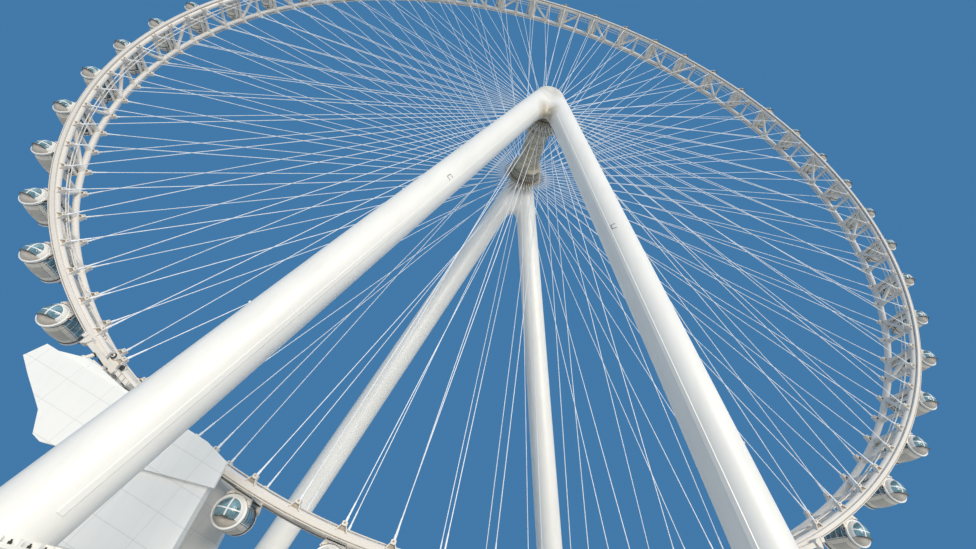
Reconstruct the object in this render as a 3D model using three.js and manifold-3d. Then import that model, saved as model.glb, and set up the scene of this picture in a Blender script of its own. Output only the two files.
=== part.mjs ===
// Giant observation wheel as a 1:10 scale model. Millimetres, Z up, wheel axis along Y, front at -Y.
// Origin on the ground, straight under the middle of the hub.
import * as THREE from 'three';
import Module from 'manifold-3d';

const wasm = await Module();
wasm.setup();
const { Manifold, Mesh } = wasm;

// Driving dimensions
const HUB_Z = 12600;            // axle height
const NODES = 96;               // cable anchors on each chord
const PITCH = 2 * Math.PI / NODES;
const NODE0 = -123.3 * Math.PI / 180;   // where node 0 stands in the photograph
const GAP = 0.3;                // air between solids that meet

const CHORD_R = 11686;          // centre of the chord tubes
const CHORD_Y = 346;            // chords' distance from the wheel's mid plane
const TUBE = 64;                // chord tube, half its width across flats
const RAIL_R = 11708;           // centre of the running rail on each chord
const RAIL_H = 36;              // half its height
const RAIL_Y = 467;             // its outer face
const EAR_TIP = 11515;          // inner end of the anchor ears
const EAR_Y = 384;              // their distance from the mid plane
const BAR = 50;                 // crossbar, half its width
const DIAG = 50;                // diagonal radius
const MID_R = 11616;            // the pair of light rails inside the rim
const MID_Y = [-140, -232];

const CABIN_R = 12059;          // cabin pivots
const CABIN_RING = 238;         // mounting rings, to the corners of their outline
const CABIN_RING_Y = 301;
const CABIN_NOSE = 478;         // mid plane to nose tip
const CRADLE_Y = 262;           // the cradles that carry the rings, just inside the chords

const SPINDLE = 150;            // fixed shaft
const HUB_IN = 150.9;           // bearing surface, a running gap from the shaft
const HUB_TUBE = 330;           // middle of the hub
const DRUM = 480;               // its two cable drums
const DRUM_IN = 690;            // where they start and end along the axle
const DRUM_OUT = 1180;
const ANCHOR = 525;             // the ring round each drum that the cables end in
const ANCHOR_Y = 1118;
const ROW = 30;                 // the cables of the two chords end in two rows
const CABLE = 8;
const SIDESTEP = 82;            // cables leave the drum a little to one side
const HOUSING = 440;            // fixed bearing housing between drum and legs
const HOUSING_END = 1260;
const NECK_END = 1430;

const LEG_TOP = 317;            // leg tube radius at the elbow and at the foot
const LEG_FOOT = 290;
const SIDES = 16;
const PEAK_Y = 1519;            // where the centre lines of a pair of legs would meet
const PEAK_Z = 13149;
const BEND = 134;               // bend radius of the elbow's centre line
const FOOT_X = 3327;
const FOOT_Y = 3583;
const FOOT_PAD = 430;
const WEB = 80;                 // half thickness of the web in the crotch

const WALL_IN = 640;            // drive tower walls, inner and outer face
const WALL_OUT = 860;
const DECK = 110;               // boarding platform

const WHITE = 0xf1efe9;
const group = new THREE.Group();

function add(name, geometry, color = WHITE) {
  const mesh = new THREE.Mesh(geometry, new THREE.MeshStandardMaterial({ color, roughness: 0.5 }));
  mesh.name = name;
  group.add(mesh);
}

// Rings of points, all with the same count, skinned into one closed body
function skin(rings, closed = false) {
  const n = rings[0].length, m = rings.length, pos = [], idx = [];
  for (const ring of rings) for (const p of ring) pos.push(p.x, p.y, p.z);
  const spans = closed ? m : m - 1;
  for (let i = 0; i < spans; i++) {
    const a = i * n, b = ((i + 1) % m) * n;
    for (let j = 0; j < n; j++) {
      const k = (j + 1) % n;
      idx.push(a + j, a + k, b + k, a + j, b + k, b + j);
    }
  }
  if (!closed) {
    for (let j = 1; j < n - 1; j++) {
      idx.push(0, j + 1, j);
      idx.push((m - 1) * n, (m - 1) * n + j, (m - 1) * n + j + 1);
    }
  }
  const g = new THREE.BufferGeometry();
  g.setAttribute('position', new THREE.Float32BufferAttribute(pos, 3));
  g.setIndex(idx);
  return orient(g);
}

// Turns the faces outward if the skin came out inside out
function orient(g) {
  const p = g.attributes.position, ix = g.index.array;
  const a = new THREE.Vector3(), b = new THREE.Vector3(), c = new THREE.Vector3();
  let v = 0;
  for (let i = 0; i < ix.length; i += 3) {
    a.fromBufferAttribute(p, ix[i]); b.fromBufferAttribute(p, ix[i + 1]);
    c.fromBufferAttribute(p, ix[i + 2]);
    v += a.dot(b.cross(c));
  }
  if (v < 0) for (let i = 0; i < ix.length; i += 3) [ix[i + 1], ix[i + 2]] = [ix[i + 2], ix[i + 1]];
  return g;
}

function solid(g) {
  const pos = g.attributes.position, index = g.index;
  const map = new Map(), verts = [], tri = [];
  const at = i => {
    const key = [pos.getX(i), pos.getY(i), pos.getZ(i)].map(v => Math.round(v * 1e4)).join();
    if (!map.has(key)) {
      map.set(key, verts.length / 3);
      verts.push(pos.getX(i), pos.getY(i), pos.getZ(i));
    }
    return map.get(key);
  };
  const count = index ? index.count : pos.count;
  for (let i = 0; i < count; i += 3) {
    const t = [0, 1, 2].map(j => at(index ? index.getX(i + j) : i + j));
    if (t[0] !== t[1] && t[1] !== t[2] && t[0] !== t[2]) tri.push(...t);
  }
  return new Manifold(new Mesh({
    numProp: 3, vertProperties: new Float32Array(verts), triVerts: new Uint32Array(tri),
  }));
}

function geometry(m) {
  const mesh = m.getMesh();
  const g = new THREE.BufferGeometry();
  g.setAttribute('position', new THREE.Float32BufferAttribute(mesh.vertProperties, 3));
  g.setIndex([...mesh.triVerts]);
  return g;
}

const fuse = list => Manifold.union(list);

// A point of the wheel: radius, angle about the axle, distance along the axle
const wheel = (r, a, y) => new THREE.Vector3(r * Math.cos(a), y, HUB_Z + r * Math.sin(a));
const nodeAngle = k => NODE0 - PITCH * k;

// A straight bar with a few sides, from p to q; r0 and r1 are its radii
function bar(p, q, r0, sides = 6, r1 = r0, twist = 0) {
  const d = q.clone().sub(p).normalize();
  const ref = Math.abs(d.y) < 0.9 ? new THREE.Vector3(0, 1, 0) : new THREE.Vector3(0, 0, 1);
  const u = ref.clone().cross(d).normalize(), v = d.clone().cross(u);
  const ring = (c, r) => Array.from({ length: sides }, (_, i) => {
    const t = twist + 2 * Math.PI * (i + 0.5) / sides;
    return c.clone().addScaledVector(u, r * Math.cos(t)).addScaledVector(v, r * Math.sin(t));
  });
  return skin([ring(p, r0), ring(q, r1)]);
}

// A plate in the wheel's plane: outline of [radial, tangential] pairs about angle a, y0 to y1
function plate(outline, a, y0, y1) {
  const er = [Math.cos(a), Math.sin(a)], et = [-Math.sin(a), Math.cos(a)];
  const ring = y => outline.map(([r, t]) =>
    new THREE.Vector3(r * er[0] + t * et[0], y, HUB_Z + r * er[1] + t * et[1]));
  return skin([ring(y0), ring(y1)]);
}

// Turned about the axle: profile of [radius, y] pairs that closes on itself
function turned(profile, sides) {
  const rings = [];
  for (let i = 0; i < sides; i++) {
    const a = NODE0 + 2 * Math.PI * i / sides;
    rings.push(profile.map(([r, y]) => wheel(r, a, y)));
  }
  return skin(rings, true);
}

// Legs: a tapered round tube on a ground pad, with half of the hairpin elbow at the top
function leg(sx, sy) {
  const peak = new THREE.Vector3(0, sy * PEAK_Y, PEAK_Z);
  const middle = new THREE.Vector3(0, sy * FOOT_Y, 0).sub(peak);
  const run = middle.length(), half = Math.atan2(FOOT_X, run);
  middle.normalize();
  // a point of the pair's plane: x sideways, s down from the peak
  const at = (x, s) => peak.clone().addScaledVector(middle, s).setX(sx * x);
  const normal = new THREE.Vector3(1, 0, 0).cross(middle);
  const ring = (c, dir, r) => {
    const side = dir.clone().cross(normal);
    return Array.from({ length: SIDES }, (_, j) => {
      const a = 2 * Math.PI * (j + 0.5) / SIDES;
      return c.clone().addScaledVector(normal, r * Math.cos(a)).addScaledVector(side, r * Math.sin(a));
    });
  };
  const touch = at(BEND * Math.cos(half), BEND * Math.cos(half) / Math.tan(half));
  const foot = at(FOOT_X, run), down = foot.clone().sub(touch).normalize();
  // the leg's cross-section slid along it to a level cut
  const level = (z, r) => ring(touch, down, r).map(p => {
    const q = p.clone().addScaledVector(down, (p.z - z) / -down.z);
    q.z = z;
    return q;
  });
  const parts = [solid(skin([ring(touch, down, LEG_TOP), level(60, LEG_FOOT)])),
    solid(skin([level(240, LEG_FOOT - 90), level(110, FOOT_PAD), level(0, FOOT_PAD)]))];
  // centre line of the bend, from the top of the elbow to where the straight run starts
  const bend = [0, 0.5, 1].map(t => {
    const a = t * (Math.PI / 2 - half);
    return at(BEND * Math.sin(a), BEND / Math.sin(half) - BEND * Math.cos(a));
  });
  const ball = LEG_TOP - 4;
  for (let i = 0; i < 2; i++) {
    const dir = bend[i + 1].clone().sub(bend[i]).normalize();
    const from = i ? bend[i] : bend[i].clone().addScaledVector(dir, -180);
    parts.push(solid(skin([ring(from, dir, LEG_TOP), ring(bend[i + 1], dir, LEG_TOP)])));
    parts.push(solid(skin([0, 1, 2, 3, 4].map(k => {
      const a = Math.PI * k / 4;
      return ring(bend[i + 1].clone().addScaledVector(dir, ball * Math.cos(a)), dir,
        Math.max(ball * Math.sin(a), 1));
    }))));
  }
  // the web that fills the crotch down to a rounded edge
  const inner = s => s * Math.tan(half) - 60;
  const edge = [[-20, 900], [-20, 1800], [40, 1812], [95, 1850], [140, 1910], [inner(1980), 1980],
    [inner(900), 900]];
  parts.push(solid(skin([-WEB, WEB].map(t => edge.map(([x, s]) =>
    at(x, s).addScaledVector(normal, t))))));
  // half of the neck that carries the bearing housing
  const around = (r, y) => Array.from({ length: 24 }, (_, i) =>
    wheel(r, 2 * Math.PI * i / 24, sy * y));
  parts.push(solid(skin([around(HOUSING, HOUSING_END + GAP), around(HOUSING - 40, NECK_END),
    around(260, NECK_END + 170)])));
  return fuse(parts);
}

function legs() {
  for (const [name, sx, sy] of [['front_left_leg', -1, -1], ['front_right_leg', 1, -1],
    ['rear_left_leg', -1, 1], ['rear_right_leg', 1, 1]]) {
    add(name, geometry(leg(sx, sy).trimByPlane([sx, 0, 0], GAP / 2)));
  }
}

// Fixed shaft with a bearing housing at each end, bolted to the necks
function spindle() {
  const at = (r, y) => Array.from({ length: 24 }, (_, i) => wheel(r, 2 * Math.PI * i / 24, y));
  const end = DRUM_OUT + 8;
  add('spindle', skin([at(HOUSING, -HOUSING_END), at(HOUSING, -end), at(SPINDLE, -end),
    at(SPINDLE, end), at(HOUSING, end), at(HOUSING, HOUSING_END)]), 0xd9d7d1);
}

// Rotating hub: a tube that swells into a drum at each end
function hub() {
  const o = DRUM_OUT, i = DRUM_IN;
  add('hub', turned([[HUB_IN, -o], [HUB_IN, o], [DRUM, o], [DRUM, i], [HUB_TUBE + 60, i - 60],
    [HUB_TUBE, i - 260], [HUB_TUBE, 260 - i], [HUB_TUBE + 60, 60 - i], [DRUM, -i], [DRUM, -o]], 32));
}

// One chord: the tube and its running rail as one profile, with the anchor ears
function rim(name, sy) {
  const f = TUBE * Math.tan(Math.PI / 8);
  const profile = [[CHORD_R + f, -TUBE], [CHORD_R + TUBE, -f], [CHORD_R + TUBE, f],
    [RAIL_R + RAIL_H, RAIL_Y - CHORD_Y], [RAIL_R - RAIL_H, RAIL_Y - CHORD_Y],
    [CHORD_R - TUBE, f], [CHORD_R - TUBE, -f], [CHORD_R - f, -TUBE]];
  const rings = [];
  for (let k = 0; k < NODES; k++) {
    const a = nodeAngle(k);
    rings.push(profile.map(([r, y]) => wheel(r, a, sy * (CHORD_Y + y))));
  }
  const parts = [solid(skin(rings, true))];
  const ears = [];
  for (let k = 0; k < NODES; k++) {
    const a = nodeAngle(k), y = sy * EAR_Y;
    ears.push(solid(plate([[CHORD_R - 6, -84], [EAR_TIP, -30], [EAR_TIP, 30], [CHORD_R - 6, 84]],
      a, y - 30, y + 30)));
  }
  add(name, geometry(fuse([...parts, ...ears])));
}

// Crossbars, diagonals, the light rail pair and the cabin cradles, one connected lattice
function ladder() {
  const parts = [];
  const inner = CHORD_Y - TUBE - GAP, r = CHORD_R;
  for (let k = 0; k < NODES; k++) {
    parts.push(solid(plate([[r - BAR, -BAR], [r - BAR, BAR], [r + BAR, BAR], [r + BAR, -BAR]],
      nodeAngle(k), -inner, inner)));
  }
  for (let k = 1; k < NODES; k += 2) {
    const flip = ((k - 1) / 2) % 2 ? 1 : -1, s = inner - 70;
    const p = wheel(r, nodeAngle(k), flip * s);
    const q = wheel(r, nodeAngle(k + 1), -flip * s);
    parts.push(solid(bar(p, q, DIAG, 4)));
  }
  const rings = [];
  for (let k = 1; k < NODES; k += 2) {
    const top = MID_R + 34, low = MID_R - 68;
    rings.push([[top, MID_Y[1] - 14], [top, MID_Y[0] + 14], [low, MID_Y[0] + 14],
      [low, MID_Y[1] - 14]].map(([R, y]) => wheel(R, nodeAngle(k), y)));
  }
  parts.push(solid(skin(rings, true)));
  const seat = CABIN_R - CABIN_RING - 0.5;
  const cradle = [[r + BAR - 8, -45], [r + BAR - 8, 45], [seat, 120], [seat, -120]];
  for (let k = 1; k < NODES; k += 2) {
    for (const y of [-CRADLE_Y, CRADLE_Y]) {
      parts.push(solid(plate(cradle, nodeAngle(k), y - 18, y + 18)));
    }
  }
  add('rim_ladder', geometry(fuse(parts)));
}

// The cables that end on one drum, fused to its anchor ring: every other node of both chords
function spokes(name, sy) {
  const y = sy * ANCHOR_Y, r = DRUM + GAP;
  const parts = [solid(turned([[r, y - 60], [ANCHOR, y - 60], [ANCHOR, y + 60], [r, y + 60]], 32))];
  for (let k = sy < 0 ? 0 : 1; k < NODES; k += 2) {
    for (const side of [-1, 1]) {
      const a = nodeAngle(k), n = ANCHOR - 20;
      const land = a - side * Math.asin(SIDESTEP / n);
      parts.push(solid(bar(wheel(n, land, y + side * ROW),
        wheel(EAR_TIP - GAP - 1.6, a, side * EAR_Y), CABLE, 3)));
    }
  }
  add(name, geometry(fuse(parts)), 0xdfe2e4);
}

// An outline of [x, z] pairs given thickness along the axle, from y0 to y1
function slab(outline, y0, y1) {
  const g = new THREE.ExtrudeGeometry(new THREE.Shape(outline.map(p => new THREE.Vector2(...p))),
    { depth: y1 - y0, bevelEnabled: false });
  g.deleteAttribute('normal');
  g.deleteAttribute('uv');
  g.rotateX(Math.PI / 2);
  g.translate(0, y1, 0);
  return solid(g);
}

// Platform slab under the wheel with the two walls of each drive tower
function platform() {
  const parts = [slab([[-4800, 0], [4800, 0], [4800, DECK], [-4800, DECK]], 30 - WALL_OUT,
    WALL_OUT - 30)];
  // outer panel, a wing that leans outward
  const panel = [[6486, 2324], [6635, 2077], [6376, 1854], [5869, 1442], [5688, 1144],
    [5543, 1081], [3192, 1081], [3201, 1422], [3579, 1592]];
  // the body behind it stands on the slab and rises a little higher
  const core = [[6330, 2285], [5846, 2299], [5138, 2020], [3623, 1620], [3285, 1462], [3275, 0],
    [5240, 0], [5240, 1120], [5640, 1180], [5820, 1480], [6400, 1990]];
  // strut, control cabinet and guide beam beside the running rail, then the beam's foot
  const units = [[[6130, 2200], [6060, 2200], [5950, 2420], [6020, 2460], 560, 780],
    [[5830, 2190], [5600, 2130], [5575, 2215], [5800, 2310], 640, 790],
    [[5481, 2288], [5480, 2222], [5202, 2081], [5170, 2144], RAIL_Y + 12, 690],
    [[5380, 2200], [5380, 2060], [5290, 2060], [5290, 2160], 650, 685]];
  for (const sx of [-1, 1]) {
    for (const sy of [-1, 1]) {
      const put = (outline, near, far) => parts.push(slab(outline.map(([x, z]) => [sx * x, z]),
        Math.min(sy * near, sy * far), Math.max(sy * near, sy * far)));
      put(panel, WALL_OUT - 60, WALL_OUT);
      put(core, WALL_IN, WALL_OUT - 55);
      for (const u of units) put(u.slice(0, 4), u[4], u[5]);
    }
  }
  add('boarding_platform', geometry(fuse(parts)));
}

// Cabins: turned about their own axis along Y, one solid each
function cabins() {
  const sides = 8;
  const half = [[6, CABIN_NOSE], [128, 436], [CABIN_RING, CABIN_RING_Y + 17]];
  const profile = [...half, ...half.map(([r, y]) => [r, -y]).reverse()];
  for (let i = 0; i < NODES / 2; i++) {
    const inward = nodeAngle(2 * i + 1) + Math.PI;      // one edge rests on the cradle
    const c = wheel(CABIN_R, inward - Math.PI, 0);
    const rings = profile.map(([r, y]) => Array.from({ length: sides }, (_, j) => {
      const a = inward + 2 * Math.PI * j / sides;
      return new THREE.Vector3(c.x + r * Math.cos(a), y, c.z + r * Math.sin(a));
    }));
    add('cabin_' + String(i + 1).padStart(2, '0'), skin(rings), 0xe4e3df);
  }
}

legs();
spindle();
hub();
rim('front_rim', -1);
rim('rear_rim', 1);
ladder();
spokes('front_spokes', -1);
spokes('rear_spokes', 1);
platform();
cabins();

export default group;
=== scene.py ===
from math import asin, atan2, cos, hypot, pi, radians, sin, sqrt

import bmesh
import bpy
import numpy as np
from mathutils import Matrix, Vector


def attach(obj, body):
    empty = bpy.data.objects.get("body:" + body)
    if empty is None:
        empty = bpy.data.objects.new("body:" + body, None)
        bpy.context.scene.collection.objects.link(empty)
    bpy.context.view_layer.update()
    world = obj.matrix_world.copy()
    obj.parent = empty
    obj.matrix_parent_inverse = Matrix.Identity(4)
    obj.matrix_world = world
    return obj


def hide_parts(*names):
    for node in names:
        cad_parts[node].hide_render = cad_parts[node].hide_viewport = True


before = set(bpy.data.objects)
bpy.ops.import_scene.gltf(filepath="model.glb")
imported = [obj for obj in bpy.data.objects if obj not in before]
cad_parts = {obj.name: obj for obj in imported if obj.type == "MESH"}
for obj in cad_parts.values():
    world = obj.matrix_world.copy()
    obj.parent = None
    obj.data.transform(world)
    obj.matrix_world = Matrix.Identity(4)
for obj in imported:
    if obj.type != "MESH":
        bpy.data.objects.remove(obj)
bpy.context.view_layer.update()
scene = bpy.context.scene

# Sizes in metres, the same values as the solids. The wheel lies in the XZ plane round
# (0, 0, HUB_Z), its axle runs along Y, and the front is at -Y.
HUB_Z = 12.6
NODES = 96  # cable anchors on each chord
PITCH = 2 * pi / NODES
NODE0 = radians(-123.3)
CHORD_R, CHORD_Y, TUBE = 11.686, 0.346, 0.064  # chord tubes: centre, distance, radius
RAIL_IN, RAIL_TOP = 11.676, 11.744  # running rail: inner and outer radius
RAIL_NEAR, RAIL_FAR = 0.427, 0.467  # and its distance from the mid plane
EAR_TIP, EAR_Y = 11.515, 0.384  # cable ears: inner end, distance
CABIN_R = 12.059  # cabin pivots
RING_Y, RING_R = 0.299, 0.231  # mounting hoops: distance, radius
DRUM, DRUM_IN, DRUM_OUT = 0.480, 0.690, 1.180  # hub drums: radius, ends
HUB_TUBE, HUB_BORE = 0.330, 0.151
ANCHOR, ANCHOR_Y = 0.525, 1.118  # ring that holds the cables: radius, distance
ROW, SIDESTEP = 0.030, 0.082  # cable ends: row spacing, step beside the axle
CABLE = 0.0078  # cable radius
HOUSING, HOUSING_END = 0.440, 1.260  # bearing housings: radius, outer end
LEG_TOP, LEG_FOOT = 0.317, 0.290  # leg radius
PEAK_Y, PEAK_Z, BEND = 1.519, 13.149, 0.134  # elbow: top of the centre line, bend radius
FOOT_X, FOOT_Y, FOOT_PAD = 3.327, 3.583, 0.430
PAIR = (-1, 1)  # front and rear, or left and right
ENDS = (("front", -1), ("rear", 1))
CORNERS = ((-1, -1), (1, -1), (1, 1), (-1, 1))
AXLE = (0, 0, HUB_Z)
TURN = 2 * pi
RIM_STEPS = 288  # sections of a ring along the rim
X, Y, Z = Vector((1, 0, 0)), Vector((0, 1, 0)), Vector((0, 0, 1))


def node_angle(k):
    return NODE0 - PITCH * k


def wheel(r, a, y, t=0.0):
    """A point of the wheel: radius, angle, distance along the axle, sideways step."""
    c, s = cos(a), sin(a)
    return Vector((r * c - t * s, y, HUB_Z + r * s + t * c))


def spoke(a):
    """Directions at angle a of the wheel: outward, and onward along the rim."""
    return Vector((cos(a), 0, sin(a))), Vector((-sin(a), 0, cos(a)))


def around(n, start=0.0):
    return [start + TURN * i / n for i in range(n)]


def circle(c, u, v, r, n):
    return [c + u * (r * cos(a)) + v * (r * sin(a)) for a in around(n)]


def section(r0, r1, y0, y1):
    return [(r0, y0), (r1, y0), (r1, y1), (r0, y1)]


class Make:
    """Collects the points and faces of one piece; a slot picks one of its paints."""

    def __init__(self, name, *paints):
        self.name, self.paints = name, paints
        self.points, self.faces, self.slots = [], [], []

    def add(self, points, faces, slot=0):
        start = len(self.points)
        self.points.extend(tuple(p) for p in points)
        self.faces.extend(tuple(start + i for i in f) for f in faces)
        self.slots.extend([slot] * len(faces))

    def loft(self, rings, slot=0, closed=False, caps=True):
        n, m = len(rings[0]), len(rings)
        faces = []
        for i in range(m if closed else m - 1):
            a, b = i * n, (i + 1) % m * n
            for j in range(n):
                k = (j + 1) % n
                faces.append((a + j, a + k, b + k, b + j))
        if caps and not closed:
            faces += [range(n)[::-1], range((m - 1) * n, m * n)]
        self.add([p for r in rings for p in r], faces, slot)

    def bar(self, stations, sides=8, slot=0):
        """A straight round bar: stations are (point, radius), all on one line."""
        d = (stations[-1][0] - stations[0][0]).normalized()
        u = (Y if abs(d.y) < 0.9 else Z).cross(d).normalized()
        v = d.cross(u)
        self.loft([circle(p, u, v, r, sides) for p, r in stations], slot)

    def block(self, centre, x, y, z, slot=0):
        """A box: x, y and z are its half-size vectors."""
        c = Vector(centre)
        self.loft([[c + s * z + a * x + b * y for a, b in CORNERS] for s in PAIR], slot)

    def plate(self, outline, a, y0, y1, slot=0):
        """A plate in the wheel's plane: outline of (radius, sideways) about angle a."""
        self.loft([[wheel(r, a, y, t) for r, t in outline] for y in (y0, y1)], slot)

    def ring_block(self, r0, r1, a, half, y0, y1, slot):
        """A block between two radii, half as wide to each side of angle a."""
        self.plate([(r0, -half), (r1, -half), (r1, half), (r0, half)], a, y0, y1, slot)

    def turned(self, profile, centre, sides, slot=0, closed=False, sy=1):
        """Turned about a line along Y through centre: profile of (radius, y times sy)."""
        c = Vector(centre)
        rings = [[c + Vector((r * cos(a), sy * y, r * sin(a))) for r, y in profile]
                 for a in around(sides)]
        n = len(profile)
        faces = []
        for i in range(sides):
            p, q = i * n, (i + 1) % sides * n
            for j in range(n if closed else n - 1):
                k = (j + 1) % n
                faces.append((p + j, p + k, q + k, q + j))
        if not closed:
            faces += [range(0, sides * n, n), range(n - 1, sides * n, n)[::-1]]
        self.add([p for r in rings for p in r], faces, slot)

    def round_rim(self, profile, sy, slot=0):
        """A (radius, distance from the mid plane) profile carried all round the rim."""
        self.loft([[wheel(r, a, sy * y) for r, y in profile] for a in around(RIM_STEPS)],
                  slot, closed=True)

    def mesh(self):
        mesh = bpy.data.meshes.new(self.name)
        mesh.from_pydata(self.points, [], self.faces)
        for paint in self.paints:
            mesh.materials.append(paint.mat)
        mesh.polygons.foreach_set("material_index", self.slots)
        bm = bmesh.new()
        bm.from_mesh(mesh)
        store(bm, mesh)
        return smooth(mesh)

    def piece(self, body, *replaces, slot="painted_steel"):
        piece(self.name, self.mesh(), body, replaces)


def cut(bm, at, across, **options):
    bmesh.ops.bisect_plane(bm, geom=bm.verts[:] + bm.edges[:] + bm.faces[:], plane_co=at,
                           plane_no=across, **options)


def store(bm, mesh):
    bmesh.ops.recalc_face_normals(bm, faces=bm.faces)
    bm.to_mesh(mesh)
    bm.free()


def smooth(mesh, sharp=35):
    """Shaded smooth, but for edges sharper than an angle in degrees."""
    mesh.polygons.foreach_set("use_smooth", [True] * len(mesh.polygons))
    mesh.set_sharp_from_angle(angle=radians(sharp))
    mesh.update()
    return mesh


def put(name, data):
    obj = bpy.data.objects.new(name, data)
    scene.collection.objects.link(obj)
    return obj


def piece(name, mesh, body, replaces=(), location=(0, 0, 0)):
    obj = put(name, mesh)
    obj.location = location
    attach(obj, body)
    if replaces:
        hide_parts(*replaces)


class Paint:
    """A painted or bare surface: broad colour drift, rain streaks, fine bump, uneven gloss."""
    CREVICE = (0.12, 0.11, 0.10)

    def __init__(self, name, colour, rough=0.5, metal=0.0, vary=0.05, scale=2.0, streak=0.0,
                 stain=None, bump=0.15, fine=40.0, depth=0.002, low=None):
        self.mat = bpy.data.materials.new(name)
        self.mat.use_nodes = True
        self.nodes = self.mat.node_tree.nodes
        self.link = self.mat.node_tree.links.new
        self.shader = self.nodes["Principled BSDF"].inputs
        self.shader["Metallic"].default_value = metal
        self.coord = self.node("TexCoord").outputs["Object"]
        self.axes = None

        low = low or tuple(c * (1 - vary) for c in colour)
        high = tuple(min(c * (1 + vary * 0.6), 1) for c in colour)
        self.colour = self.drift(self.noise(scale, 6), low, high)
        if streak:
            runs = self.spread(self.noise(1.0, 4, (9, 9, 0.5)), 0.52, 0.75)
            self.colour = self.mix(self.op("MULTIPLY", runs, streak), stain)
        self.link(self.colour, self.shader["Base Color"])
        gloss = self.spread(self.noise(scale * 3, 3), 0, 1, rough - 0.07, rough + 0.09)
        self.link(gloss, self.shader["Roughness"])
        self.normal = self.dent(self.noise(fine, 2), bump, depth)

    def node(self, kind):
        return self.nodes.new("ShaderNode" + kind)

    def noise(self, size, detail, stretch=None):
        n = self.node("TexNoise")
        n.inputs["Scale"].default_value = size
        n.inputs["Detail"].default_value = detail
        source = self.coord
        if stretch:
            m = self.node("Mapping")
            m.inputs["Scale"].default_value = stretch
            self.link(source, m.inputs["Vector"])
            source = m.outputs["Vector"]
        self.link(source, n.inputs["Vector"])
        return n.outputs["Fac"]

    def drift(self, value, low, high):
        r = self.node("ValToRGB")
        for stop, at, colour in zip(r.color_ramp.elements, (0.35, 0.65), (low, high)):
            stop.position = at
            stop.color = (*colour, 1)
        self.link(value, r.inputs["Fac"])
        return r.outputs["Color"]

    def mix(self, mask, colour):
        """The paint's colour, turned towards another one where the mask is high."""
        m = self.node("Mix")
        m.data_type = "RGBA"
        self.link(mask, m.inputs["Factor"])
        self.link(self.colour, m.inputs["A"])
        m.inputs["B"].default_value = (*colour, 1)
        return m.outputs["Result"]

    def op(self, kind, *values):
        m = self.node("Math")
        m.operation = kind
        for socket, v in zip(m.inputs, values):
            if isinstance(v, (int, float)):
                socket.default_value = v
            else:
                self.link(v, socket)
        return m.outputs["Value"]

    def spread(self, value, lo, hi, to_lo=0.0, to_hi=1.0):
        m = self.node("MapRange")
        for label, v in (("From Min", lo), ("From Max", hi), ("To Min", to_lo), ("To Max", to_hi)):
            m.inputs[label].default_value = v
        self.link(value, m.inputs["Value"])
        return m.outputs["Result"]

    def dent(self, height, strength, depth, under=None):
        b = self.node("Bump")
        b.inputs["Strength"].default_value = strength
        b.inputs["Distance"].default_value = depth
        self.link(height, b.inputs["Height"])
        if under:
            self.link(under, b.inputs["Normal"])
        self.link(b.outputs["Normal"], self.shader["Normal"])
        return b.outputs["Normal"]

    def xyz(self):
        if not self.axes:
            s = self.node("SeparateXYZ")
            self.link(self.coord, s.inputs["Vector"])
            self.axes = s.outputs
        return self.axes["X"], self.axes["Y"], self.axes["Z"]

    def stripes(self, value, period, width, shift=0.0):
        """1 inside narrow lines that repeat every period of value, else 0."""
        cycle = self.op("FRACT", self.op("MULTIPLY_ADD", value, 1 / period, shift))
        near = self.op("ABSOLUTE", self.op("SUBTRACT", cycle, 0.5))
        return self.op("LESS_THAN", near, width / period / 2)

    def groove(self, lines, shade):
        """Darkens to 1 - shade and dents where lines, a 0 to 1 mask, is high."""
        colour = self.mix(self.op("MULTIPLY", lines, 1 - shade), self.CREVICE)
        self.link(colour, self.shader["Base Color"])
        self.dent(self.op("MULTIPLY", lines, -0.6), 0.6, 0.004, self.normal)

    def spot(self, y, z, full, none):
        """1 within full of a point on the plane X = 0, falling to 0 at none."""
        px, py, pz = self.xyz()
        a, b, c = [self.op("POWER", self.op(*step), 2.0) for step in
                   (("MULTIPLY", px, 1.2), ("SUBTRACT", py, y), ("SUBTRACT", pz, z))]
        away = self.op("ADD", self.op("ADD", a, b), c)
        return self.spread(self.op("SQRT", away), none, full)


# Paints of the steelwork
WHITE = (0.88, 0.85, 0.785)
RAIN = (0.66, 0.63, 0.56)  # what runs down white faces
white = Paint("white_paint", (0.77, 0.71, 0.63), 0.42, vary=0.04, scale=1.2, streak=0.08,
              stain=(0.56, 0.50, 0.42), bump=0.12)
leg_white = Paint("leg_paint", WHITE, 0.38, vary=0.035, scale=0.8, streak=0.16, stain=RAIN,
                  bump=0.10, fine=30)
# painted shade: dark strip in the slot between each chord's tube and its rail
slot_shade = Paint("painted_slot_shade", (0.10, 0.10, 0.11), 0.6, vary=0.2, scale=8)
hub_grey = Paint("hub_paint", (0.50, 0.445, 0.33), 0.5, vary=0.34, scale=5, streak=0.8,
                 stain=(0.20, 0.15, 0.09), bump=0.3, fine=25)
hub_brown = Paint("hub_band", (0.20, 0.155, 0.10), 0.6, vary=0.3, scale=9, bump=0.3)
socket_dark = Paint("socket_steel", (0.075, 0.065, 0.055), 0.45, 0.4, vary=0.25, scale=20)
socket_pale = Paint("socket_cast", (0.66, 0.62, 0.54), 0.5, 0.2, vary=0.2, scale=12)
cable_grey = Paint("cable_sheath", (0.93, 0.94, 0.96), 0.4, vary=0.06, scale=6, bump=0.3,
                   fine=90, depth=0.001)
machine = Paint("machine_grey", (0.42, 0.42, 0.40), 0.5, 0.1, vary=0.15, scale=6, streak=0.3,
                stain=(0.22, 0.19, 0.15))
tyre = Paint("tyre_rubber", (0.045, 0.042, 0.04), 0.75, vary=0.2, scale=10, bump=0.4)
# painted shade: tan for the shaded inside of the cable ears' channels and the gap under the rim's
# outer strip
tan_shade = Paint("painted_tan_shade", (0.42, 0.36, 0.29), 0.7, vary=0.25, scale=14, bump=0.3)
panel = Paint("tower_panel", (0.88, 0.865, 0.82), 0.45, vary=0.025, scale=0.7, streak=0.12,
              stain=RAIN, bump=0.06)
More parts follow.
